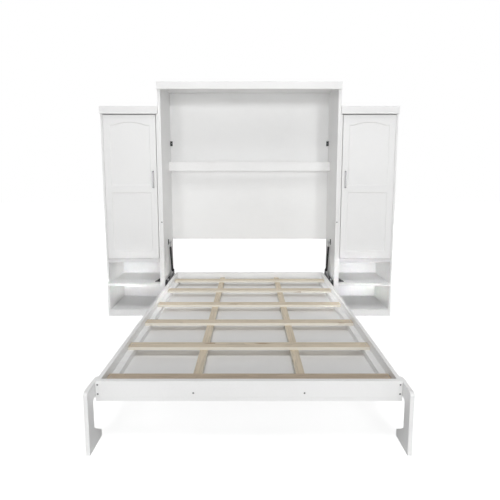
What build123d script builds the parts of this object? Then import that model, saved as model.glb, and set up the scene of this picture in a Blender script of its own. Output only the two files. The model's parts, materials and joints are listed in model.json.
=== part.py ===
import os
from build123d import *

# Lengths are in millimetres. X runs along the wall, +Y goes into the wall and +Z is up.
# A depth is measured out from the wall, and a height up from the floor.

# Boards of the cabinets
cabinet_depth = 421
centre_height = 2199
centre_panel = 28
centre_joint = 1000
side_width = 540
side_height = 1974
side_panel = 18
side_joint = 1000
slab_thickness = 66
slab_trim = 24
side_slab_thickness = 70
slab_overhang = 20
slab_side_overhang = 2
back_thickness = 10
edge_ease = 1
joint_groove = 3
joint_groove_depth = 6

# Inside of the centre cabinet
ceiling_thickness = 15
top_rail_height = 30
mid_rail_bottom = 1443
mid_rail_face = 115
back_bottom = 707
back_joint = 958
back_seam_x = -35

# Inside of the side cabinets
door_shelf_top = 587
door_shelf_lip = 40
door_shelf_setback = 8
shelf_thickness = 18
open_shelf_top = 333
open_shelf_thickness = 25
toe_rail_height = 68

# Doors
door_thickness = 18
door_hinge_gap = 2
door_handle_gap = 5
door_bottom_gap = 3
door_top_gap = 7
door_stile = 62
door_arch_top = 70
door_arch_rise = 28
door_shoulder = 36
lock_rail_rise = 719
lock_rail_height = 77
door_bottom_rail = 74
panel_recess = 5
panel_bevel = 4

# Door handles and concealed hinges
handle_length = 162
handle_width = 11
handle_bar = 8
handle_foot = 12
handle_standoff = 30
handle_edge_distance = 33
handle_rise = 690
hinge_end_distance = 110
cup_radius = 17.5
cup_depth = 11
cup_ear_width = 14
cup_ear_length = 62
cup_flange = 1.5
cup_edge_distance = 22
hinge_plate_height = 50
hinge_plate = 3
hinge_arm_height = 14
hinge_arm_reach = 56
hinge_arm_width = 12
hinge_finger = 5
hinge_finger_width = 18

# Bed
bed_width = 1600
bed_length = 2100
bed_head_depth = 51
rail_thickness = 24
rail_height = 93
rail_bottom = 256
face_panel = 18
face_columns = 3
face_top_rail = 120
face_bottom_rail = 150
cleat_width = 40
cleat_height = 39
slat_width = 68
slat_thickness = 20
slat_end_gap = 2
head_slat_depth = 225
first_slat_depth = 545
foot_slat_inset = 98
slat_count = 5
bearer_width = 50
bearer_thickness = 25
bearer_x = 290
screw_head_radius = 5
screw_head = 4
screw_sink = 1.5
screw_sides = 12
screw_margin = 21
cup_fit = 0.1

# Legs
leg_thickness = 22
leg_gap = 2
leg_pivot_inset = 51
leg_pivot_height = 300
leg_arm_radius = 38
leg_front_reach = 137
leg_post = 62
foot_heel = 9
foot_toe_height = 38
foot_instep_height = 88
foot_instep = 21
leg_bolt_radius = 6
leg_bolt_head_radius = 11
leg_bolt_head = 5

# Lift mechanism, in the gap between the bed and the cabinet sides
bed_side_gap = 36
pivot_drop = 9
raised_inset = 2
pin_radius = 10
collar_radius = 14
hub_radius = 18
hub_width = 12
plate = 4
plate_corner = 8
pivot_plate_behind = 102
pivot_plate_ahead = 88
pivot_plate_below = 60
pivot_plate_above = 16
arm_behind = 205
arm_ahead = 128
arm_below = 65
arm_above = 12
arm_flange_width = 14
arm_flange = 3
spring_top_behind = 92
spring_top_above = 376
spring_foot_behind = 167
spring_foot_above = 55
spring_eye_radius = 12
spring_eye_width = 14
spring_foot_pin_radius = 6
arm_tip_radius = 20
stud_radius = 5
spring_bracket_width = 36
spring_bracket_height = 56
tube_radius = 11
tube_wall = 2
tube_end = 10
tube_start = 58
tube_eye_overlap = 5
rod_radius = 5
piston_length = 8
rod_reach = 295

# Small hardware
bracket_leaf = 22
bracket_height = 50
bracket_thickness = 2.5
bracket_drop = 494
bracket_hole_radius = 2.75
gusset_run = 68
gusset_rise = 50
gusset_length = 40
gusset_thickness = 3
gusset_setback = 81
connector_radius = 5
connector_thickness = 1.5
connector_drop = 53

# Clearances
running_fit = 0.05
seat = 0.3

# Places worked out from the sizes above
bed_half = bed_width / 2
centre_half = bed_half + bed_side_gap
centre_width = 2 * centre_half
centre_outer = centre_half + centre_panel
side_inner = centre_outer + side_panel
side_outer = centre_outer + side_width
side_clear = side_outer - side_panel
bed_foot_depth = bed_head_depth + bed_length
rail_top = rail_bottom + rail_height
slat_bottom = rail_bottom + cleat_height
slat_pitch = (bed_foot_depth - foot_slat_inset - first_slat_depth) / (slat_count - 1)
leg_pivot_depth = bed_foot_depth - leg_pivot_inset
leg_front_depth = leg_pivot_depth + leg_front_reach
wall_y = leg_front_depth / 2
niche_centre = (side_inner + side_clear) / 2
door_low = door_shelf_top + door_bottom_gap
door_high = side_height - door_top_gap
door_width = side_clear - side_inner - door_hinge_gap - door_handle_gap
door_centre = side_clear - door_hinge_gap - door_width / 2
hinge_heights = (door_low + hinge_end_distance, (door_low + door_high) / 2, door_high - hinge_end_distance)
pivot_height = rail_top - pivot_drop
pivot_depth = cabinet_depth - raised_inset - (pivot_height - rail_bottom + face_panel)
slab_top = centre_height + slab_thickness
slab_depth = cabinet_depth + slab_overhang
slab_inside = slab_depth - slab_trim
ceiling_height = slab_top - ceiling_thickness
hands = ((-1, "left"), (1, "right"))

os.makedirs("parts", exist_ok=True)


def y_at(depth):
    """The Y of a point that stands this far out from the wall."""
    return wall_y - depth


def save(piece, label):
    piece.part.label = label
    export_step(piece.part, f"parts/{label}.step")


def front_plane(x, depth, height):
    """A plane that faces the room, with its own x along the wall and its y upwards."""
    return Plane(origin=(x, y_at(depth), height), x_dir=(1, 0, 0), z_dir=(0, -1, 0))


def side_plane(hand, near, far):
    """A plane across X at the lower of two distances from the middle, and the distance between them."""
    return Plane.YZ.offset(min(hand * near, hand * far)), abs(far - near)


def board(label, places, width, depths, heights, joint=None):
    """Flat boards with eased edges, one at each place along X, with a groove in front at a joint height."""
    length = depths[1] - depths[0]
    height = heights[1] - heights[0]
    middle_y = y_at((depths[0] + depths[1]) / 2)
    middle_z = (heights[0] + heights[1]) / 2
    with BuildPart() as piece:
        with Locations([(x, middle_y, middle_z) for x in places]):
            Box(width, length, height)
        chamfer(piece.edges(), edge_ease)
        if joint is not None:
            with Locations([(x, y_at(depths[1]), joint) for x in places]):
                Box(width, 2 * joint_groove_depth, joint_groove, mode=Mode.SUBTRACT)
    save(piece, label)


def routed_fields(half, low, lock_top, peak):
    """An arched field above the lock rail and a plain one below it, both centred on x = 0."""
    arch_half = half - door_shoulder
    arch_foot = peak - door_arch_rise
    high = lock_top - lock_rail_height
    with BuildSketch() as fields:
        with BuildLine():
            Polyline((-arch_half, arch_foot), (-half, arch_foot), (-half, lock_top),
                     (half, lock_top), (half, arch_foot), (arch_half, arch_foot))
            ThreePointArc((arch_half, arch_foot), (0, peak), (-arch_half, arch_foot))
        make_face()
        with Locations((0, (low + high) / 2)):
            Rectangle(2 * half, high - low)
    return fields.sketch


# Centre cabinet: the slab is a deep trim in front and at the ends, with the ceiling board inside its top
slab_plan = Plane.XY.offset(centre_height)
with BuildPart() as top_slab:
    with BuildSketch(slab_plan):
        with Locations((0, y_at(slab_depth / 2))):
            Rectangle(2 * (centre_outer + slab_side_overhang), slab_depth)
        with Locations((0, y_at(slab_inside / 2))):
            Rectangle(centre_width, slab_inside, mode=Mode.SUBTRACT)
    extrude(amount=slab_thickness)
    chamfer(top_slab.edges(), edge_ease)
save(top_slab, "top_slab")
for hand, name in hands:
    panel_x = hand * (centre_half + centre_panel / 2)
    board(f"lower_side_panel_{name}", [panel_x], centre_panel, (0, cabinet_depth),
          (0, centre_joint), centre_joint)
    board(f"upper_side_panel_{name}", [panel_x], centre_panel, (0, cabinet_depth),
          (centre_joint, centre_height), centre_joint)
board("ceiling_board", [0], centre_width, (0, slab_inside), (ceiling_height, slab_top))
board("top_rail", [0], centre_width, (slab_inside - rail_thickness, slab_inside),
      (ceiling_height - top_rail_height, ceiling_height))
board("mid_rail", [0], centre_width, (mid_rail_face - rail_thickness, mid_rail_face),
      (mid_rail_bottom, mid_rail_bottom + rail_height))

# The back is a tall sheet above and two short ones below that meet at an upright seam
bracket_middle = centre_height - bracket_drop + bracket_height / 2
bracket_hole_x = centre_half - bracket_leaf / 2 - bracket_thickness / 2
with BuildPart() as back_upper:
    with Locations((0, y_at(back_thickness / 2), (back_joint + ceiling_height) / 2)):
        Box(centre_width, back_thickness, ceiling_height - back_joint)
    with BuildSketch(front_plane(0, 0, bracket_middle)):
        with Locations((-bracket_hole_x, 0), (bracket_hole_x, 0)):
            Circle(bracket_hole_radius)
    extrude(amount=back_thickness, mode=Mode.SUBTRACT)
save(back_upper, "back_panel_upper")
for name, low_x, high_x in (("left", -centre_half, back_seam_x), ("right", back_seam_x, centre_half)):
    board(f"back_panel_lower_{name}", [(low_x + high_x) / 2], high_x - low_x,
          (0, back_thickness), (back_bottom, back_joint))

# Angle brackets in the back corners take the screws that hold the cabinet to the wall
with BuildPart() as wall_brackets:
    for hand, name in hands:
        leaf_x = hand * (centre_half - bracket_leaf / 2)
        with Locations((leaf_x, y_at(back_thickness + bracket_thickness / 2), bracket_middle)):
            Box(bracket_leaf, bracket_thickness, bracket_height)
        with Locations((hand * (centre_half - bracket_thickness / 2),
                        y_at(back_thickness + bracket_leaf / 2), bracket_middle)):
            Box(bracket_thickness, bracket_leaf, bracket_height)
    with BuildSketch(front_plane(0, back_thickness, bracket_middle)):
        with Locations((-bracket_hole_x, 0), (bracket_hole_x, 0)):
            Circle(bracket_hole_radius)
    extrude(amount=bracket_thickness, mode=Mode.SUBTRACT)
save(wall_brackets, "wall_brackets")

# Caps of the bolts below the joints of the centre sides
with BuildPart() as connectors:
    cap_x = centre_half + centre_panel / 2
    with BuildSketch(front_plane(0, cabinet_depth, centre_joint - connector_drop)):
        with Locations((-cap_x, 0), (cap_x, 0)):
            RegularPolygon(connector_radius, screw_sides)
    extrude(amount=connector_thickness)
save(connectors, "panel_connectors")

# Side cabinets
for hand, name in hands:
    middle = hand * niche_centre
    clear_width = side_clear - side_inner
    board(f"side_top_slab_{name}", [hand * (centre_outer + (side_width + slab_side_overhang) / 2)],
          side_width + slab_side_overhang, (0, slab_depth),
          (side_height, side_height + side_slab_thickness))
    board(f"inner_panel_{name}", [hand * (centre_outer + side_panel / 2)], side_panel,
          (0, cabinet_depth), (0, side_height))
    board(f"outer_panel_{name}", [hand * (side_outer - side_panel / 2)], side_panel,
          (0, cabinet_depth), (0, side_height), side_joint)
    board(f"open_shelf_{name}", [middle], clear_width, (back_thickness, cabinet_depth),
          (open_shelf_top - open_shelf_thickness, open_shelf_top))
    with BuildPart() as door_shelf:
        plane, length = side_plane(hand, side_inner, side_clear)
        lip_front = y_at(cabinet_depth - door_shelf_setback)
        lip_back = lip_front + shelf_thickness
        with BuildSketch(plane):
            with BuildLine():
                Polyline((y_at(back_thickness), door_shelf_top), (lip_front, door_shelf_top),
                         (lip_front, door_shelf_top - door_shelf_lip),
                         (lip_back, door_shelf_top - door_shelf_lip),
                         (lip_back, door_shelf_top - shelf_thickness),
                         (y_at(back_thickness), door_shelf_top - shelf_thickness), close=True)
            make_face()
        extrude(amount=length)
        chamfer(door_shelf.edges().filter_by(Axis.X).group_by(Axis.Y)[0], edge_ease)
    save(door_shelf, f"door_shelf_{name}")
both_middles = [-niche_centre, niche_centre]
board("side_back_panels", both_middles, side_clear - side_inner, (0, back_thickness), (0, side_height))
board("bottom_boards", both_middles, side_clear - side_inner,
      (back_thickness, cabinet_depth - shelf_thickness), (toe_rail_height - shelf_thickness, toe_rail_height))
board("toe_rails", both_middles, side_clear - side_inner,
      (cabinet_depth - shelf_thickness, cabinet_depth), (0, toe_rail_height))

# Corner gussets between the open shelves and the walls next to the bed
gusset_depth = cabinet_depth - gusset_setback
with BuildPart() as gussets:
    for hand, name in hands:
        with BuildSketch(front_plane(hand * side_inner, gusset_depth - gusset_length / 2, open_shelf_top)):
            with BuildLine():
                Polyline((0, 0), (hand * gusset_run, 0), (hand * gusset_run, gusset_thickness),
                         (hand * gusset_thickness, gusset_thickness), (hand * gusset_thickness, gusset_rise),
                         (0, gusset_rise), close=True)
            make_face()
        extrude(amount=gusset_length)
        web_depth = gusset_depth - gusset_thickness / 2
        with BuildSketch(front_plane(hand * side_inner, web_depth, open_shelf_top)):
            with BuildLine():
                Polyline((0, 0), (hand * gusset_run, 0), (0, gusset_rise), close=True)
            make_face()
        extrude(amount=gusset_thickness)
save(gussets, "shelf_gussets")

# Doors with a routed panel above and below the lock rail, the upper one arched
lock_rail_top = door_low + lock_rail_rise
door_fields = routed_fields(door_width / 2 - door_stile, door_low + door_bottom_rail,
                            lock_rail_top, door_high - door_arch_top)
for hand, name in hands:
    middle = hand * door_centre
    outer_edge = hand * (door_centre + door_width / 2)
    with BuildPart() as door:
        with BuildSketch(front_plane(middle, cabinet_depth - door_thickness, 0)):
            with Locations((0, (door_low + door_high) / 2)):
                Rectangle(door_width, door_high - door_low)
        extrude(amount=door_thickness)
        chamfer(door.edges(), edge_ease)
        with BuildSketch(front_plane(middle, cabinet_depth, 0)):
            add(door_fields)
        extrude(amount=-panel_recess, mode=Mode.SUBTRACT)
        front = door.faces().sort_by(Axis.Y)[0]
        chamfer([edge for wire in front.inner_wires() for edge in wire.edges()], panel_bevel)
        with BuildSketch(front_plane(outer_edge, cabinet_depth - door_thickness, 0)):
            with Locations([(-hand * cup_edge_distance, height) for height in hinge_heights]):
                Circle(cup_radius + cup_fit)
        extrude(amount=cup_depth + cup_fit, mode=Mode.SUBTRACT)
    save(door, f"door_{name}")

    with BuildPart() as cups:
        cup_places = [(-hand * cup_edge_distance, height) for height in hinge_heights]
        with BuildSketch(front_plane(outer_edge, cabinet_depth - door_thickness - cup_flange, 0)):
            with Locations(cup_places):
                Circle(cup_radius)
        extrude(amount=cup_flange + cup_depth)
        with BuildSketch(front_plane(outer_edge, cabinet_depth - door_thickness - cup_flange, 0)):
            with Locations(cup_places):
                Rectangle(cup_ear_width, cup_ear_length)
        extrude(amount=cup_flange)
    save(cups, f"hinge_cups_{name}")

    handle_x = side_inner + door_handle_gap + handle_edge_distance
    handle_middle = door_low + handle_rise + handle_length / 2
    bar_front = y_at(cabinet_depth + handle_standoff)
    bar_back = bar_front + handle_bar
    with BuildPart() as handle:
        plane, length = side_plane(hand, handle_x - handle_width / 2, handle_x + handle_width / 2)
        with BuildSketch(plane) as bow:
            with Locations(((bar_front + y_at(cabinet_depth)) / 2, handle_middle)):
                Rectangle(handle_standoff, handle_length)
            corners = bow.vertices().group_by(Axis.X)[0]
            fillet(corners, handle_bar)
            with Locations(((bar_back + y_at(cabinet_depth)) / 2, handle_middle)):
                Rectangle(handle_standoff - handle_bar, handle_length - 2 * handle_foot, mode=Mode.SUBTRACT)
        extrude(amount=length)
        chamfer(handle.faces().sort_by(Axis.X)[0].edges(), edge_ease)
        chamfer(handle.faces().sort_by(Axis.X)[-1].edges(), edge_ease)
    save(handle, f"handle_{name}")

# Hinge arms on the outer panels, each reaching round to its cup
with BuildPart() as hinge_arms:
    arm_front_depth = cabinet_depth - door_thickness - cup_flange - seat
    arm_middle_y = y_at(arm_front_depth - hinge_arm_reach / 2)
    finger_reach = door_hinge_gap + cup_edge_distance + hinge_finger_width / 2
    for hand, name in hands:
        for height in hinge_heights:
            with Locations((hand * (side_clear - hinge_plate / 2), arm_middle_y, height)):
                Box(hinge_plate, hinge_arm_reach, hinge_plate_height)
            with Locations((hand * (side_clear - hinge_plate - hinge_arm_width / 2), arm_middle_y, height)):
                Box(hinge_arm_width, hinge_arm_reach, hinge_arm_height)
            with Locations((hand * (side_clear - finger_reach / 2),
                            y_at(arm_front_depth - hinge_finger / 2), height)):
                Box(finger_reach, hinge_finger, hinge_arm_height)
save(hinge_arms, "hinge_arms")

# Bed frame
rail_depths = (bed_head_depth + rail_thickness, bed_foot_depth - rail_thickness)
bolt_far = bed_half + leg_gap + leg_thickness + seat
for hand, name in hands:
    with BuildPart() as side_rail:
        with Locations((hand * (bed_half - rail_thickness / 2), y_at(sum(rail_depths) / 2),
                        (rail_bottom + rail_top) / 2)):
            Box(rail_thickness, rail_depths[1] - rail_depths[0], rail_height)
        chamfer(side_rail.edges(), edge_ease)
        plane, length = side_plane(hand, bed_half - rail_thickness, bed_half)
        with BuildSketch(plane):
            with Locations((y_at(leg_pivot_depth), leg_pivot_height)):
                Circle(leg_bolt_radius)
        extrude(amount=length, mode=Mode.SUBTRACT)
    save(side_rail, f"side_rail_{name}")

screw_places = []
for hand, name in hands:
    screw_places.append((hand * bearer_x, slat_bottom - bearer_thickness / 2))
    for height in (rail_bottom + screw_margin, rail_top - screw_margin):
        screw_places.append((hand * (bed_half - rail_thickness / 2), height))
screw_seat_depth = bed_foot_depth - screw_sink - screw_head
with BuildPart() as front_rail:
    with Locations((0, y_at(bed_foot_depth - rail_thickness / 2), (rail_bottom + rail_top) / 2)):
        Box(bed_width, rail_thickness, rail_height)
    chamfer(front_rail.edges(), edge_ease)
    with BuildSketch(front_plane(0, screw_seat_depth, 0)):
        with Locations(screw_places):
            RegularPolygon(screw_head_radius, screw_sides)
    extrude(amount=screw_head + screw_sink, mode=Mode.SUBTRACT)
save(front_rail, "front_rail")
with BuildPart() as rail_screws:
    with BuildSketch(front_plane(0, screw_seat_depth, 0)):
        with Locations(screw_places):
            RegularPolygon(screw_head_radius, screw_sides)
    extrude(amount=screw_head)
save(rail_screws, "rail_screws")
board("rear_rail", [0], bed_width, (bed_head_depth, bed_head_depth + rail_thickness), (rail_bottom, rail_top))

# The bed's face, under it when lowered, has panels like those of the doors, whose lock rail it lines up with
raised_offset = pivot_depth - pivot_height
face_half = (bed_width - (face_columns + 1) * door_stile) / face_columns / 2
face_fields = routed_fields(face_half, bed_head_depth + face_bottom_rail,
                            lock_rail_top + raised_offset, bed_foot_depth - face_top_rail)
column_pitch = 2 * face_half + door_stile
with BuildPart() as face:
    with Locations((0, y_at((bed_head_depth + bed_foot_depth) / 2), rail_bottom - face_panel / 2)):
        Box(bed_width, bed_length, face_panel)
    chamfer(face.edges(), edge_ease)
    under = Plane(origin=(0, y_at(0), rail_bottom - face_panel), x_dir=(1, 0, 0), z_dir=(0, 0, -1))
    with BuildSketch(under):
        with GridLocations(column_pitch, 0, face_columns, 1):
            add(face_fields)
    extrude(amount=-panel_recess, mode=Mode.SUBTRACT)
    front = face.faces().sort_by(Axis.Z)[0]
    chamfer([edge for wire in front.inner_wires() for edge in wire.edges()], panel_bevel)
save(face, "face_panel")
cleat_x = bed_half - rail_thickness - cleat_width / 2
board("cleats", [-cleat_x, cleat_x], cleat_width, rail_depths, (rail_bottom, slat_bottom))
board("bearers", [-bearer_x, bearer_x], bearer_width, rail_depths,
      (slat_bottom - bearer_thickness, slat_bottom))
slat_length = bed_width - 2 * rail_thickness - 2 * slat_end_gap
slat_depths = [head_slat_depth] + [first_slat_depth + slat_pitch * step for step in range(slat_count)]
for number, depth in enumerate(slat_depths, start=1):
    board(f"slat_{number}", [0], slat_length, (depth - slat_width / 2, depth + slat_width / 2),
          (slat_bottom, slat_bottom + slat_thickness))

# Swinging legs: an arm on the pivot bolt, an upright post and a boot-shaped foot
for hand, name in hands:
    with BuildPart() as leg:
        plane, length = side_plane(hand, bed_half + leg_gap, bed_half + leg_gap + leg_thickness)
        with BuildSketch(plane) as outline:
            pivot_y = y_at(leg_pivot_depth)
            front_y = pivot_y - leg_front_reach
            post_y = front_y + leg_post
            top = leg_pivot_height + leg_arm_radius
            under = leg_pivot_height - leg_arm_radius
            heel_y = pivot_y + foot_heel
            with BuildLine():
                Polyline((pivot_y, top), (front_y, top), (front_y, 0), (heel_y, 0), (heel_y, foot_toe_height),
                         (post_y + foot_instep, foot_instep_height),
                         (post_y, foot_instep_height + foot_instep), (post_y, under), (pivot_y, under))
                ThreePointArc((pivot_y, under), (pivot_y + leg_arm_radius, leg_pivot_height), (pivot_y, top))
            make_face()
            corners = outline.vertices()
            fillet(corners.sort_by_distance((front_y, top))[0], leg_post * 0.3)
            corners = outline.vertices()
            fillet(corners.sort_by_distance((heel_y, 0))[0], foot_heel)
            corners = outline.vertices()
            fillet(corners.sort_by_distance((heel_y, foot_toe_height))[0], foot_toe_height * 0.4)
            corners = outline.vertices()
            fillet(corners.sort_by_distance((post_y, under))[0], leg_post * 0.3)
            with Locations((pivot_y, leg_pivot_height)):
                Circle(leg_bolt_radius + running_fit, mode=Mode.SUBTRACT)
        extrude(amount=length)
    save(leg, f"leg_{name}")

with BuildPart() as leg_bolts:
    for hand, name in hands:
        plane, length = side_plane(hand, bed_half - rail_thickness, bolt_far)
        with BuildSketch(plane):
            with Locations((y_at(leg_pivot_depth), leg_pivot_height)):
                Circle(leg_bolt_radius)
        extrude(amount=length)
        plane, length = side_plane(hand, bolt_far, bolt_far + leg_bolt_head)
        with BuildSketch(plane):
            with Locations((y_at(leg_pivot_depth), leg_pivot_height)):
                RegularPolygon(leg_bolt_head_radius, 6)
        extrude(amount=length)
save(leg_bolts, "leg_bolts")

# Pivot plates on the cabinet sides, and the pins that the bed turns on
plate_face = centre_half - plate
hub_face = bed_half + plate + hub_width
pivot = (y_at(pivot_depth), pivot_height)
with BuildPart() as pivot_plates:
    for hand, name in hands:
        plane, length = side_plane(hand, plate_face, centre_half)
        with BuildSketch(plane) as outline:
            with Locations((pivot[0] + (pivot_plate_behind - pivot_plate_ahead) / 2,
                            pivot[1] + (pivot_plate_above - pivot_plate_below) / 2)):
                Rectangle(pivot_plate_behind + pivot_plate_ahead, pivot_plate_below + pivot_plate_above)
            chamfer(outline.vertices(), plate_corner)
            with Locations(pivot):
                Circle(pin_radius, mode=Mode.SUBTRACT)
        extrude(amount=length)
save(pivot_plates, "pivot_plates")
with BuildPart() as pivot_pins:
    for hand, name in hands:
        for near, far, radius in ((bed_half + leg_gap, centre_half, pin_radius),
                                  (hub_face + seat, plate_face, collar_radius)):
            plane, length = side_plane(hand, near, far)
            with BuildSketch(plane):
                with Locations(pivot):
                    Circle(radius)
            extrude(amount=length)
save(pivot_pins, "pivot_pins")

# Lift arms: flanged steel plates on the bed's sides, with a hub on the pin and a tip for the spring
spring_foot = (pivot[0] + spring_foot_behind, pivot[1] + spring_foot_above)
spring_top = (pivot[0] + spring_top_behind, pivot[1] + spring_top_above)
arm_rear = pivot[0] + arm_behind
arm_low = pivot[1] - arm_below
arm_high = pivot[1] + arm_above
with BuildPart() as lift_arms:
    for hand, name in hands:
        plane, length = side_plane(hand, bed_half, bed_half + plate)
        with BuildSketch(plane):
            with Locations((pivot[0] + (arm_behind - arm_ahead) / 2, (arm_low + arm_high) / 2)):
                RectangleRounded(arm_behind + arm_ahead, arm_high - arm_low, pin_radius)
            with Locations(spring_foot):
                Circle(arm_tip_radius)
            with BuildLine():
                Polyline((spring_foot[0] + arm_tip_radius, spring_foot[1]), (arm_rear, arm_low + pin_radius),
                         (pivot[0], arm_low + pin_radius), (pivot[0], arm_high),
                         (spring_foot[0] - arm_tip_radius, spring_foot[1]), close=True)
            make_face()
        extrude(amount=length)
        plane, length = side_plane(hand, bed_half, bed_half + arm_flange_width)
        with BuildSketch(plane):
            with Locations((pivot[0] - arm_ahead / 2, arm_high - arm_flange / 2)):
                Rectangle(arm_ahead - 2 * pin_radius, arm_flange)
        extrude(amount=length)
        plane, length = side_plane(hand, bed_half, hub_face)
        with BuildSketch(plane):
            with Locations(pivot):
                Circle(hub_radius)
        extrude(amount=length)
        with BuildSketch(plane):
            with Locations(pivot):
                Circle(pin_radius + running_fit)
        extrude(amount=length, mode=Mode.SUBTRACT)
save(lift_arms, "lift_arms")

# Brackets that carry the upper ends of the gas springs
spring_x = (bed_half + centre_half) / 2
eye_near = spring_x - spring_eye_width / 2
eye_far = spring_x + spring_eye_width / 2
with BuildPart() as spring_brackets:
    for hand, name in hands:
        plane, length = side_plane(hand, plate_face, centre_half)
        with BuildSketch(plane) as outline:
            with Locations(spring_top):
                Rectangle(spring_bracket_width, spring_bracket_height)
            chamfer(outline.vertices(), plate_corner)
        extrude(amount=length)
        plane, length = side_plane(hand, eye_near - leg_gap, plate_face)
        with BuildSketch(plane):
            with Locations(spring_top):
                Circle(stud_radius)
        extrude(amount=length)
save(spring_brackets, "spring_brackets")

# Gas springs: the rod hangs from the bracket and the tube slides along it down to the lift arm
spring_line = Vector(0, spring_foot[0] - spring_top[0], spring_foot[1] - spring_top[1])
for hand, name in hands:
    axis_plane = Plane(origin=(hand * spring_x, *spring_top), x_dir=(1, 0, 0), z_dir=spring_line)
    plane, length = side_plane(hand, eye_near, eye_far)
    with BuildPart() as rod:
        with BuildSketch(axis_plane.offset(stud_radius)):
            Circle(rod_radius)
        extrude(amount=rod_reach - stud_radius)
        with BuildSketch(axis_plane.offset(rod_reach - piston_length)):
            Circle(tube_radius - tube_wall - running_fit)
        extrude(amount=piston_length)
        with BuildSketch(plane):
            with Locations(spring_top):
                Circle(spring_eye_radius)
        extrude(amount=length)
        with BuildSketch(plane):
            with Locations(spring_top):
                Circle(stud_radius + running_fit)
        extrude(amount=length, mode=Mode.SUBTRACT)
    save(rod, f"spring_rod_{name}")

    tube_length = spring_line.length - spring_eye_radius + tube_eye_overlap - tube_start
    with BuildPart() as tube:
        with BuildSketch(axis_plane.offset(tube_start)):
            Circle(tube_radius)
        extrude(amount=tube_length)
        with BuildSketch(axis_plane.offset(tube_start)):
            Circle(rod_radius + running_fit)
        extrude(amount=tube_end, mode=Mode.SUBTRACT)
        with BuildSketch(axis_plane.offset(tube_start + tube_end)):
            Circle(tube_radius - tube_wall)
        extrude(amount=tube_length - 2 * tube_end, mode=Mode.SUBTRACT)
        with BuildSketch(plane):
            with Locations(spring_foot):
                Circle(spring_eye_radius)
        extrude(amount=length)
        foot_plane, foot_length = side_plane(hand, bed_half + plate + seat, eye_far)
        with BuildSketch(foot_plane):
            with Locations(spring_foot):
                Circle(spring_foot_pin_radius)
        extrude(amount=foot_length)
    save(tube, f"spring_tube_{name}")
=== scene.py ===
import json
import math
import bpy
from mathutils import Matrix, Vector


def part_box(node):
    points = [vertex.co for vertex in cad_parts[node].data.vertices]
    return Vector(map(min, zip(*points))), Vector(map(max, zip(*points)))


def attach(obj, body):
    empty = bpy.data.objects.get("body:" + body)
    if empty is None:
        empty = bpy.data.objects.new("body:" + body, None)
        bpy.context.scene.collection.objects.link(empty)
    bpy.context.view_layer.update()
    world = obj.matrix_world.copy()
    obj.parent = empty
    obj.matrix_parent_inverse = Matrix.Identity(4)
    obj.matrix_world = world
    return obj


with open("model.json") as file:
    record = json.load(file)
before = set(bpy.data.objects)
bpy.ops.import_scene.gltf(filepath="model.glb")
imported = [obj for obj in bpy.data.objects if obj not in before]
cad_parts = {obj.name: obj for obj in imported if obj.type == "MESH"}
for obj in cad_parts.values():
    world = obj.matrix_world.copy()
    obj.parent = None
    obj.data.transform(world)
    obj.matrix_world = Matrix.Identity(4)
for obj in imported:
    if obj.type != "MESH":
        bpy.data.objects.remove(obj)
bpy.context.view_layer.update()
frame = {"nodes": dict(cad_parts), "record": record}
nodes = frame["nodes"]
scene = bpy.context.scene
scene.view_settings.view_transform = "Standard"

# Materials. Lengths are in metres, and a noise scale is a count of features per metre.


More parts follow.
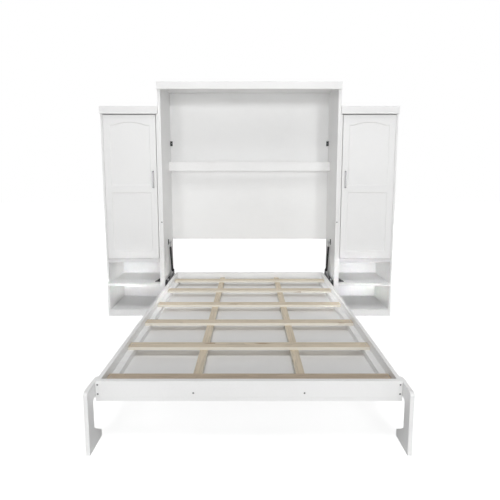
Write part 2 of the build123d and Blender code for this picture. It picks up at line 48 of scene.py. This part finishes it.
class Shader:
    """A material made of a Principled shader and the nodes that feed it."""

    def __init__(self, name, colour, roughness, metallic=0.0, specular=0.5):
        self.material = bpy.data.materials.new(name)
        self.material.use_nodes = True
        self.tree = self.material.node_tree
        self.shader = self.tree.nodes["Principled BSDF"]
        self.shader.inputs["Base Color"].default_value = (*colour, 1)
        self.shader.inputs["Roughness"].default_value = roughness
        self.shader.inputs["Metallic"].default_value = metallic
        self.shader.inputs["Specular IOR Level"].default_value = specular
        self.place = self.node("ShaderNodeTexCoord").outputs["Object"]

    def node(self, kind, **values):
        made = self.tree.nodes.new(kind)
        for key, value in values.items():
            setattr(made, key, value)
        return made

    def link(self, output, socket):
        self.tree.links.new(output, socket)

    def mapped(self, scale, offset=(0, 0, 0)):
        """Object coordinates, in metres, stretched by scale."""
        mapping = self.node("ShaderNodeMapping")
        mapping.inputs["Scale"].default_value = scale
        mapping.inputs["Location"].default_value = offset
        self.link(self.place, mapping.inputs["Vector"])
        return mapping.outputs["Vector"]

    def noise(self, scale, detail=3.0, roughness=0.5, offset=(0, 0, 0), distortion=0.0):
        made = self.node("ShaderNodeTexNoise")
        made.inputs["Scale"].default_value = 1.0
        made.inputs["Detail"].default_value = detail
        made.inputs["Roughness"].default_value = roughness
        made.inputs["Distortion"].default_value = distortion
        self.link(self.mapped(scale, offset), made.inputs["Vector"])
        return made.outputs["Fac"]

    def ramp(self, source, stops):
        """Colour stops as (position, colour) over a 0 to 1 value."""
        made = self.node("ShaderNodeValToRGB")
        elements = made.color_ramp.elements
        while len(elements) < len(stops):
            elements.new(0.5)
        for element, (position, colour) in zip(elements, stops):
            element.position = position
            element.color = (*colour, 1)
        self.link(source, made.inputs["Fac"])
        return made.outputs["Color"]

    def span(self, source, low, high, from_low=0.0, from_high=1.0):
        """A value that goes from low to high while the source goes from from_low to from_high."""
        made = self.node("ShaderNodeMapRange")
        made.inputs["From Min"].default_value = from_low
        made.inputs["From Max"].default_value = from_high
        made.inputs["To Min"].default_value = low
        made.inputs["To Max"].default_value = high
        self.link(source, made.inputs["Value"])
        return made.outputs["Result"]

    def maths(self, operation, first, second=0.0):
        made = self.node("ShaderNodeMath", operation=operation)
        for socket, value in zip(made.inputs, (first, second)):
            if isinstance(value, (int, float)):
                socket.default_value = value
            else:
                self.link(value, socket)
        return made.outputs["Value"]

    def mix(self, factor, first, second):
        """Blends two colours, each a tuple or an output, by a number or an output."""
        made = self.node("ShaderNodeMix", data_type="RGBA")
        colour_a = [s for s in made.inputs if s.name == "A" and s.type == "RGBA"][0]
        colour_b = [s for s in made.inputs if s.name == "B" and s.type == "RGBA"][0]
        factor_in = [s for s in made.inputs if s.name == "Factor" and s.type == "VALUE"][0]
        for socket, value in ((factor_in, factor), (colour_a, first), (colour_b, second)):
            if isinstance(value, (int, float)):
                socket.default_value = value
            elif isinstance(value, tuple):
                socket.default_value = (*value, 1)
            else:
                self.link(value, socket)
        return [s for s in made.outputs if s.type == "RGBA"][0]

    def colour(self, output):
        self.link(output, self.shader.inputs["Base Color"])

    def rough(self, output):
        self.link(output, self.shader.inputs["Roughness"])

    def bump(self, height, strength, distance, softened=None):
        """Raises the surface by a height, over the softened normal where one is given."""
        made = self.node("ShaderNodeBump")
        made.inputs["Strength"].default_value = strength
        made.inputs["Distance"].default_value = distance
        self.link(height, made.inputs["Height"])
        if softened is not None:
            self.link(softened, made.inputs["Normal"])
        self.link(made.outputs["Normal"], self.shader.inputs["Normal"])

    def facing(self, axis):
        """How far a face looks along an axis of the piece, either way, from 0 to 1."""
        parts = self.node("ShaderNodeSeparateXYZ")
        self.link(self.node("ShaderNodeTexCoord").outputs["Normal"], parts.inputs["Vector"])
        return self.maths("ABSOLUTE", parts.outputs[axis])

    def edges(self, radius):
        """A value that is 1 along sharp edges and 0 on flat faces, and a normal rounded over the edges."""
        rounded = self.node("ShaderNodeBevel", samples=2)
        rounded.inputs["Radius"].default_value = radius
        turned = self.node("ShaderNodeVectorMath", operation="DOT_PRODUCT")
        self.link(rounded.outputs["Normal"], turned.inputs[0])
        self.link(self.node("ShaderNodeNewGeometry").outputs["Normal"], turned.inputs[1])
        return self.span(turned.outputs["Value"], 1, 0, 0.8, 0.99), rounded.outputs["Normal"]


def white_paint(name, tint, seed, painted_edge_shade=None):
    """Satin white lacquer on board: roller texture, slow tone drift, uneven gloss, rubbed edges.

    The last argument, where it is given, is a grey painted on the faces that look forward or back: a painted
    shade on the shelves' front edges.
    """
    paint = Shader(name, tint, 0.42)
    drift = paint.noise((1.6, 1.6, 1.6), 4, 0.55, (seed, 2 * seed, 0))
    specks = paint.noise((90, 90, 90), 2, 0.5, (seed, 0, 0))
    shade = paint.maths("ADD", paint.maths("MULTIPLY", drift, 0.75),
                        paint.maths("MULTIPLY", specks, 0.25))
    dark = tuple(0.965 * channel for channel in tint)
    light = tuple(min(1, 1.02 * channel) for channel in tint)
    lacquer = paint.ramp(shade, [(0.32, dark), (0.5, tint), (0.7, light)])
    # Painted shade: faces that look forward or back are greyed, for the shade on the shelves' front edges.
    if painted_edge_shade:
        lacquer = paint.mix(paint.facing("Y"), lacquer, painted_edge_shade)
    edge, softened = paint.edges(0.0015)
    wear = paint.span(paint.noise((25, 25, 25), 3, 0.6), 0, 0.45, 0.4, 0.7)
    rubbed = paint.maths("MULTIPLY", edge, wear)
    paint.colour(paint.mix(rubbed, lacquer, (0.70, 0.68, 0.64)))
    gloss = paint.span(paint.noise((14, 14, 14), 3, 0.6, (0, seed, 0)), 0.36, 0.5)
    paint.rough(paint.maths("ADD", gloss, paint.maths("MULTIPLY", rubbed, 0.3)))
    paint.bump(paint.noise((420, 420, 420), 2, 0.5), 0.06, 0.0006, softened)
    return paint.material


def pine(name, along, tint, seed):
    """Bare pine: grain along X or Y, growth lines that bend round knots, fine pores, and a painted highlight
    that makes the long narrow faces paler.
    """
    wood = Shader(name, tint, 0.6, specular=0.3)
    across = [34.0, 34.0, 34.0]
    across[along] = 1.7
    fine = [420.0, 420.0, 420.0]
    fine[along] = 9.0
    spread = [16.0, 16.0, 16.0]
    spread[along] = 2.6
    cells = wood.node("ShaderNodeTexVoronoi")
    cells.inputs["Scale"].default_value = 1.0
    wood.link(wood.mapped(tuple(spread), (seed * 0.7, seed * 1.9, seed * 2.3)), cells.inputs["Vector"])
    chosen = wood.maths("GREATER_THAN", wood.noise((7, 7, 7), 0, 0.5, (0, 0, seed)), 0.52)
    near = wood.maths("MULTIPLY", wood.span(cells.outputs["Distance"], 1, 0, 0.05, 0.5), chosen)
    knot = wood.maths("MULTIPLY", wood.span(cells.outputs["Distance"], 1, 0, 0.07, 0.16), chosen)
    bend = wood.noise(tuple(across), 5, 0.55, (seed * 3.7, seed * 1.3, seed * 2.1), 0.6)
    bend = wood.maths("ADD", bend, wood.maths("MULTIPLY", near, 0.35))
    lines = wood.maths("FRACT", wood.maths("MULTIPLY", bend, 5.0))
    pores = wood.noise(tuple(fine), 3, 0.6, (seed, seed, seed))
    grain = wood.maths("ADD", wood.maths("MULTIPLY", lines, 0.65),
                       wood.maths("MULTIPLY", pores, 0.35))
    dark = tuple(0.78 * channel for channel in tint)
    light = tuple(min(1, 1.1 * channel) for channel in tint)
    wood_colour = wood.ramp(grain, [(0.1, light), (0.55, tint), (0.95, dark)])
    # Painted highlight: a slat's front and back faces, and a bearer's sides, are painted paler for the light
    # that falls on them.
    painted_side_light = wood.maths("MULTIPLY", wood.facing("XY"[1 - along]), 0.75)
    wood_colour = wood.mix(painted_side_light, wood_colour, (0.86, 0.83, 0.75))
    edge, softened = wood.edges(0.0012)
    worn = wood.mix(wood.maths("MULTIPLY", edge, 0.3), wood_colour, light)
    wood.colour(wood.mix(wood.maths("MULTIPLY", knot, 0.75), worn, (0.36, 0.23, 0.13)))
    wood.rough(wood.span(pores, 0.5, 0.72))
    wood.bump(grain, 0.12, 0.0006, softened)
    return wood.material


def black_paint(name, roughness, pebbling):
    """Black paint with a fine pebbled skin, rubbed to the steel here and there on its edges."""
    coat = Shader(name, (0.022, 0.022, 0.024), roughness)
    pebble = coat.noise((900, 900, 900), 2, 0.5)
    patches = coat.noise((40, 40, 40), 3, 0.6)
    skin = coat.ramp(patches, [(0.3, (0.017, 0.017, 0.019)), (0.7, (0.032, 0.032, 0.034))])
    edge, softened = coat.edges(0.0008)
    wear = coat.span(coat.noise((60, 60, 60), 3, 0.6), 0, 0.7, 0.48, 0.66)
    bare = coat.maths("MULTIPLY", edge, wear)
    coat.colour(coat.mix(bare, skin, (0.32, 0.32, 0.33)))
    coat.link(bare, coat.shader.inputs["Metallic"])
    coat.rough(coat.span(pebble, 0.8 * roughness, 1.3 * roughness))
    coat.bump(pebble, pebbling, 0.0004, softened)
    return coat.material


def bright_metal(name, tint, along, roughness):
    """Steel with fine brushed lines along one axis, duller where it was handled and bright on its edges."""
    metal = Shader(name, tint, roughness, metallic=1.0)
    stretch = [1500.0, 1500.0, 1500.0]
    stretch[along] = 18.0
    lines = metal.noise(tuple(stretch), 3, 0.6)
    handled = metal.noise((30, 30, 30), 3, 0.6)
    dull = tuple(0.82 * channel for channel in tint)
    bright = tuple(min(1, 1.25 * channel) for channel in tint)
    edge, softened = metal.edges(0.0006)
    brushed = metal.ramp(lines, [(0.3, dull), (0.7, tint)])
    metal.colour(metal.mix(metal.maths("MULTIPLY", edge, 0.6), brushed, bright))
    metal.rough(metal.maths("ADD", metal.span(lines, roughness * 0.7, roughness * 1.1),
                            metal.span(handled, 0, roughness * 0.4, 0.4, 0.7)))
    metal.bump(lines, 0.08, 0.0003, softened)
    return metal.material


def black_rubber(name):
    """Matt rubber with a faint dusty bloom."""
    rubber = Shader(name, (0.02, 0.02, 0.02), 0.8, specular=0.3)
    bloom = rubber.noise((120, 120, 120), 4, 0.6)
    dark, dusty = (0.014, 0.014, 0.014), (0.045, 0.045, 0.043)
    rubber.colour(rubber.ramp(bloom, [(0.35, dark), (0.75, dusty)]))
    rubber.rough(rubber.span(bloom, 0.7, 0.9))
    rubber.bump(bloom, 0.1, 0.0003)
    return rubber.material


white_boards = white_paint("white_boards", (0.92, 0.92, 0.917), 1)
# The shelves get a grey painted shade on their front edges.
shelf_boards = white_paint("shelf_boards", (0.92, 0.92, 0.917), 1, (0.74, 0.74, 0.74))
back_sheets = white_paint("back_sheets", (0.92, 0.922, 0.92), 5)
black_steel = black_paint("black_steel", 0.45, 0.15)
spring_gloss = black_paint("spring_gloss", 0.2, 0.04)
bright_steel = bright_metal("bright_steel", (0.56, 0.57, 0.58), 2, 0.34)
handle_metal = bright_metal("handle_metal", (0.36, 0.36, 0.37), 2, 0.34)
screw_zinc = bright_metal("screw_zinc", (0.15, 0.15, 0.155), 2, 0.42)
seal_rubber = black_rubber("seal_rubber")
slot_materials = {
    "white_boards": white_boards,
    "back_sheets": back_sheets,
    "black_steel": black_steel,
    "bright_steel": bright_steel,
    "handle_metal": handle_metal,
}
pine_tint = (0.7, 0.61, 0.48)
# The foot slat gets a darker pine tint: a painted shade for the front rail's shadow on it.
painted_shade_foot_tint = (0.56, 0.46, 0.35)
foot_slat = 6


def dress(node, material):
    """Puts one material on all of a CAD node."""
    mesh = nodes[node].data
    mesh.materials.clear()
    mesh.materials.append(material)


for entry in frame["record"]["subparts"]:
    name = entry["node"]
    if name.startswith("slat_"):
        number = int(name[5:])
        tone = 1 + 0.03 * math.sin(2.4 * number)
        tint = painted_shade_foot_tint if number == foot_slat else pine_tint
        dress(name, pine(name, 0, tuple(tone * channel for channel in tint), number))
    elif name == "bearers":
        dress(name, pine(name, 1, pine_tint, 11))
    elif name.startswith("spring_tube_"):
        dress(name, spring_gloss)
    elif name.startswith(("door_shelf_", "open_shelf_")):
        dress(name, shelf_boards)
    else:
        dress(name, slot_materials[entry["material_slot"]])

# Small fasteners, in metres. Each one stands on its seat and is turned outward from it.


def tube_faces(rows, count):
    """Faces between rows of corners, each row a closed loop of count corners."""
    faces = []
    for row in range(rows - 1):
        for this in range(count):
            following = (this + 1) % count
            low, high = row * count, (row + 1) * count
            faces.append((low + this, low + following, high + following, high + this))
    return faces


def screw_head(radius, height):
    """A domed head with a cross recess."""
    arm, half = 0.5 * radius, 0.13 * radius
    cross = []
    for turn in range(4):
        quarter = Matrix.Rotation(turn * math.pi / 2, 2)
        cross += [quarter @ Vector(corner) for corner in ((arm, -half), (arm, half), (half, half))]
    angles = [math.atan2(corner.y, corner.x) for corner in cross]
    rings = ((radius, 0), (radius, 0.3 * height), (0.85 * radius, 0.75 * height),
             (0.64 * radius, height))
    corners = [(ring * math.cos(angle), ring * math.sin(angle), z)
               for ring, z in rings for angle in angles]
    for z in (height, 0.4 * height):
        corners += [(corner.x, corner.y, z) for corner in cross]
    rows, count = len(rings) + 2, len(cross)
    return corners, tube_faces(rows, count) + [tuple(range((rows - 1) * count, rows * count))]


def bolt_head(radius, height):
    """A round washer under a hexagon head with a turned-down top."""
    count = 24
    washer = 0.2 * height
    rings = ((1.4, 0, False), (1.4, washer, False), (1, washer, True), (1, 0.88 * height, True),
             (0.86, height, False))
    corners = []
    for ring, z, hexagon in rings:
        for step in range(count):
            angle = step * 2 * math.pi / count
            flat = math.cos(math.pi / 6) / math.cos(angle % (math.pi / 3) - math.pi / 6)
            reach = radius * ring * (flat if hexagon else 1)
            corners.append((reach * math.cos(angle), reach * math.sin(angle), z))
    last = (len(rings) - 1) * count
    return corners, tube_faces(len(rings), count) + [tuple(range(last, last + count))]


def spring_clip(inner, outer, thickness):
    """An open ring with rounded-off ends that snaps into the groove of a stud."""
    steps = 22
    corners = []
    for step in range(steps + 1):
        angle = math.radians(35 + 290 * step / steps)
        swell = outer - (outer - inner) * 0.35 * abs(2 * step / steps - 1) ** 4
        for reach, z in ((inner, 0), (swell, 0), (swell, thickness), (inner, thickness)):
            corners.append((reach * math.cos(angle), reach * math.sin(angle), z))
    faces = [(3, 2, 1, 0), tuple(range(4 * steps, 4 * steps + 4))]
    return corners, faces + tube_faces(steps + 1, 4)


def wiper_seal(inner, outer, height):
    """A rubber lip seal: a rounded ring that narrows to a lip on the rod."""
    count = 28
    profile = ((outer, 0), (outer, 0.4 * height), (0.9 * outer, 0.62 * height),
               (inner + 0.25 * (outer - inner), height), (inner, height), (inner, 0))
    angles = [step * 2 * math.pi / count for step in range(count)]
    corners = [(reach * math.cos(angle), reach * math.sin(angle), z)
               for reach, z in profile for angle in angles]
    return corners, tube_faces(len(profile), count)


def fit(name, shape, places, outward, body, material):
    """One piece with a copy of the shape at each place, which rides on a body."""
    shape_corners, shape_faces = shape
    turn = Vector(outward).to_track_quat("Z", "Y")
    corners, faces = [], []
    for place in places:
        start = len(corners)
        corners += [place + turn @ Vector(corner) for corner in shape_corners]
        faces += [tuple(start + index for index in face) for face in shape_faces]
    mesh = bpy.data.meshes.new(name)
    mesh.from_pydata(corners, [], faces)
    mesh.shade_smooth()
    mesh.set_sharp_from_angle(angle=math.radians(35))
    mesh.materials.append(material)
    made = bpy.data.objects.new(name, mesh)
    scene.collection.objects.link(made)
    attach(made, body)


def middle(node):
    """The middle of a CAD node's box."""
    low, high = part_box(node)
    return (Vector(low) + Vector(high)) / 2


sides = ((-1, "left"), (1, "right"))
wood_screw = screw_head(0.0045, 0.002)
small_screw = screw_head(0.0034, 0.0016)
flush_screw = screw_head(0.0042, 0.0008)

# Lift mechanism: screws in the plates, clips on the studs, bolts in the arms, seals on the gas springs
steel = 0.004
plate_inset_y, plate_inset_z = 0.018, 0.015
bracket_screw_rise = 0.02
stud_groove = 0.0072
arm_bolts = ((0.045, 0.042), (0.105, 0.042), (0.105, 0.014))
foot_behind_pivot, foot_above_pivot = 0.167, 0.055
eye_to_seal = 0.058
bed_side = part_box("face_panel")[1][0]
bay_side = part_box("pivot_plates")[1][0]
spring_x = (bed_side + bay_side) / 2
plate_low, plate_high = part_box("pivot_plates")
plate_ys = (plate_low[1] + plate_inset_y, plate_high[1] - plate_inset_y)
plate_zs = (plate_low[2] + plate_inset_z, plate_high[2] - plate_inset_z)
pivot = middle("pivot_pins")
spring_top = middle("spring_brackets")
spring_foot = pivot + Vector((0, foot_behind_pivot, foot_above_pivot))
for hand, name in sides:
    inward, outward = (-hand, 0, 0), (hand, 0, 0)
    plate_x = hand * (bay_side - steel)
    fit(f"pivot_plate_screws_{name}", wood_screw,
        [Vector((plate_x, y, z)) for y in plate_ys for z in plate_zs], inward, "cabinet", bright_steel)
    fit(f"spring_bracket_screws_{name}", wood_screw,
        [Vector((plate_x, spring_top.y, spring_top.z + rise))
         for rise in (-bracket_screw_rise, bracket_screw_rise)], inward, "cabinet", bright_steel)
    fit(f"spring_stud_clip_{name}", spring_clip(0.0051, 0.0085, 0.001),
        [Vector((hand * (spring_x - stud_groove), spring_top.y, spring_top.z))],
        inward, "cabinet", bright_steel)
    fit(f"lift_arm_bolts_{name}", bolt_head(0.0075, 0.005),
        [Vector((hand * (bed_side + steel), pivot.y - ahead, pivot.z - drop))
         for ahead, drop in arm_bolts], outward, "bed", bright_steel)
    top = Vector((hand * spring_x, spring_top.y, spring_top.z))
    line = (Vector((top.x, spring_foot.y, spring_foot.z)) - top).normalized()
    fit(f"spring_seal_{name}", wiper_seal(0.0053, 0.0102, 0.004), [top + eye_to_seal * line], -line,
        f"tube_{name}", seal_rubber)

# Side cabinets: screws of the hinges, of the shelf gussets and of the wall brackets
hinge_from_end = 0.11
cup_inset, cup_flange, cup_screw_rise = 0.022, 0.0015, 0.0245
plate_inset, plate_behind_door, plate_screw_rise = 0.001, 0.03, 0.017
gusset_steel, gusset_screw_run, gusset_screw_rise, gusset_screw_half = 0.003, 0.046, 0.034, 0.011
bracket_steel, bracket_screw_depth, bracket_screw_inset = 0.0025, 0.009, 0.011
gusset_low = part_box("shelf_gussets")[0]
gusset_y = middle("shelf_gussets").y
bracket_low, bracket_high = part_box("wall_brackets")
for hand, name in sides:
    inward, outward, rearward, upward = (-hand, 0, 0), (hand, 0, 0), (0, 1, 0), (0, 0, 1)
    door_low, door_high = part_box(f"door_{name}")
    heights = (door_low[2] + hinge_from_end, (door_low[2] + door_high[2]) / 2,
               door_high[2] - hinge_from_end)
    door_edge = max(abs(door_low[0]), abs(door_high[0]))
    fit(f"hinge_cup_screws_{name}", small_screw,
        [Vector((hand * (door_edge - cup_inset), door_high[1] + cup_flange, height + rise))
         for height in heights for rise in (-cup_screw_rise, cup_screw_rise)],
        rearward, f"door_{name}", bright_steel)
    fit(f"hinge_plate_screws_{name}", small_screw,
        [Vector((hand * (door_edge - plate_inset), door_high[1] + plate_behind_door, height + rise))
         for height in heights for rise in (-plate_screw_rise, plate_screw_rise)],
        inward, "cabinet", bright_steel)
    wall_x = min(abs(edge[0]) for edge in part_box(f"open_shelf_{name}"))
    across = (gusset_y - gusset_screw_half, gusset_y + gusset_screw_half)
    fit(f"gusset_shelf_screws_{name}", small_screw,
        [Vector((hand * (wall_x + gusset_screw_run), y, gusset_low[2] + gusset_steel)) for y in across],
        upward, "cabinet", bright_steel)
    fit(f"gusset_wall_screws_{name}", small_screw,
        [Vector((hand * (wall_x + gusset_steel), y, gusset_low[2] + gusset_screw_rise)) for y in across],
        outward, "cabinet", bright_steel)
    fit(f"wall_bracket_screws_{name}", small_screw,
        [Vector((hand * (bracket_high[0] - bracket_steel), bracket_low[1] + bracket_screw_depth, z))
         for z in (bracket_low[2] + bracket_screw_inset, bracket_high[2] - bracket_screw_inset)],
        inward, "cabinet", bright_steel)

# Bed: slat screws, and the recessed faces of the screws in the foot rail
slat_screw_inset = 0.02
rail_screw_recess, rail_screw_inset = 0.0015, 0.021
half_bearer = 0.025
slat_places = []
for number in range(1, foot_slat + 1):
    slat_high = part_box(f"slat_{number}")[1]
    slat_y = middle(f"slat_{number}").y
    slat_places += [Vector((hand * (slat_high[0] - slat_screw_inset), slat_y, slat_high[2]))
                    for hand, name in sides]
fit("slat_screws", flush_screw, slat_places, (0, 0, 1), "bed", bright_steel)
rail_low, rail_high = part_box("front_rail")
screw_y = rail_low[1] + rail_screw_recess
bearer_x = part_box("bearers")[1][0] - half_bearer
rail_places = []
for hand, name in sides:
    rail_places.append(Vector((hand * bearer_x, screw_y, middle("bearers").z)))
    for z in (rail_low[2] + rail_screw_inset, rail_high[2] - rail_screw_inset):
        rail_places.append(Vector((middle(f"side_rail_{name}").x, screw_y, z)))
fit("rail_screw_faces", screw_head(0.0044, 0.0012), rail_places, (0, -1, 0), "bed", screw_zinc)

# Floor, backdrop, lamps and camera


def floor():
    """A pale floor that takes the object's shadow, fades into the white backdrop and is clear from below."""
    size = 14.0
    mesh = bpy.data.meshes.new("floor")
    corners = [(-size, -size, 0), (size, -size, 0), (size, size, 0), (-size, size, 0)]
    mesh.from_pydata(corners, [], [(0, 1, 2, 3)])
    made = bpy.data.objects.new("floor", mesh)
    scene.collection.objects.link(made)
    made.location.z = -0.0005
    paint = Shader("floor", (0.9, 0.9, 0.9), 0.9, specular=0.0)
    reach = paint.node("ShaderNodeVectorMath", operation="LENGTH")
    paint.link(paint.mapped((0.75, 1, 1)), reach.inputs[0])
    near, far = 1.3, 2.3
    near_glow, far_glow = 0.62, 1.0
    glow = paint.span(reach.outputs["Value"], near_glow, far_glow, near, far)
    seen = paint.node("ShaderNodeLightPath").outputs["Is Camera Ray"]
    paint.shader.inputs["Emission Color"].default_value = (1, 1, 1, 1)
    paint.link(paint.maths("MULTIPLY", glow, seen), paint.shader.inputs["Emission Strength"])
    from_below = paint.node("ShaderNodeMixShader")
    paint.link(paint.node("ShaderNodeNewGeometry").outputs["Backfacing"], from_below.inputs["Fac"])
    paint.link(paint.shader.outputs["BSDF"], from_below.inputs[1])
    paint.link(paint.node("ShaderNodeBsdfTransparent").outputs["BSDF"], from_below.inputs[2])
    paint.link(from_below.outputs["Shader"], paint.tree.nodes["Material Output"].inputs["Surface"])
    mesh.materials.append(paint.material)


def sky(strength):
    """A backdrop that looks white, also in reflections, and lights the object only faintly."""
    world = bpy.data.worlds.new("studio")
    scene.world = world
    world.use_nodes = True
    tree = world.node_tree
    tree.nodes.clear()
    out = tree.nodes.new("ShaderNodeOutputWorld")
    seen = tree.nodes.new("ShaderNodeBackground")
    seen.inputs["Strength"].default_value = 1.0
    light = tree.nodes.new("ShaderNodeBackground")
    light.inputs["Strength"].default_value = strength
    path = tree.nodes.new("ShaderNodeLightPath")
    rays = tree.nodes.new("ShaderNodeMath")
    rays.operation = "MAXIMUM"
    choose = tree.nodes.new("ShaderNodeMixShader")
    for background in (seen, light):
        background.inputs["Color"].default_value = (1, 1, 1, 1)
    tree.links.new(path.outputs["Is Camera Ray"], rays.inputs[0])
    tree.links.new(path.outputs["Is Glossy Ray"], rays.inputs[1])
    tree.links.new(rays.outputs[0], choose.inputs["Fac"])
    tree.links.new(light.outputs[0], choose.inputs[1])
    tree.links.new(seen.outputs[0], choose.inputs[2])
    tree.links.new(choose.outputs[0], out.inputs["Surface"])


def lamp(name, place, target, size, power, spread=180):
    """A square-cornered soft lamp, aimed at a point. The power is in watts and the spread in degrees."""
    data = bpy.data.lights.new(name, "AREA")
    data.spread = math.radians(spread)
    data.shape = "RECTANGLE"
    data.size, data.size_y = size
    data.energy = power
    made = bpy.data.objects.new(name, data)
    scene.collection.objects.link(made)
    made.location = place
    made.rotation_euler = (Vector(target) - Vector(place)).to_track_quat("-Z", "Y").to_euler()


def camera():
    """The photo's viewpoint, solved from the corners of the bed and the cabinets."""
    downward_pitch = 6.291
    data = bpy.data.cameras.new("camera")
    data.sensor_fit = "HORIZONTAL"
    data.sensor_width = 36
    data.lens = 26.306
    data.shift_y = -0.0736
    made = bpy.data.objects.new("camera", data)
    scene.collection.objects.link(made)
    made.location = (0.0057, -2.8211, 1.4228)
    made.rotation_euler = (math.radians(90 - downward_pitch), 0, 0)
    scene.camera = made


floor()
sky(0.08)

# Each lamp: where it stands, what it is aimed at, its width and height, its power and its spread
for side, power in ((-1, 128), (0, 210), (1, 245)):
    lamp("key", (side * 5.0, -14.0 + abs(side), 4.2), (0, 1, 1.3), (1.6, 2.6), power)
lamp("low", (0.0, -8.0, 1.2), (0, 1, 0.8), (7.0, 1.0), 105)
for side in (-1, 1):
    lamp("fill", (side * 2.2, -2.2, 0.5), (side * -0.6, 1.0, 0.35), (1.0, 0.7), 4)
    lamp("niche", (side * 1.5, -2.6, 1.3), (side * -1.25, 0.9, 0.27), (0.25, 0.25), 0.35, 8)
    lamp("shelf", (side * 1.2, -3.6, 0.8), (side * 1.18, 1.0, 0.24), (0.25, 0.25), 0.25, 8)
lamp("top", (0.0, -1.5, 6.0), (0, -0.8, 0.3), (3.0, 3.0), 126)
for side in (-1, 1):
    lamp("rear", (side * 5.0, 6.5, 3.2), (0, 0.6, 1.0), (3.0, 2.5), 75)
camera()
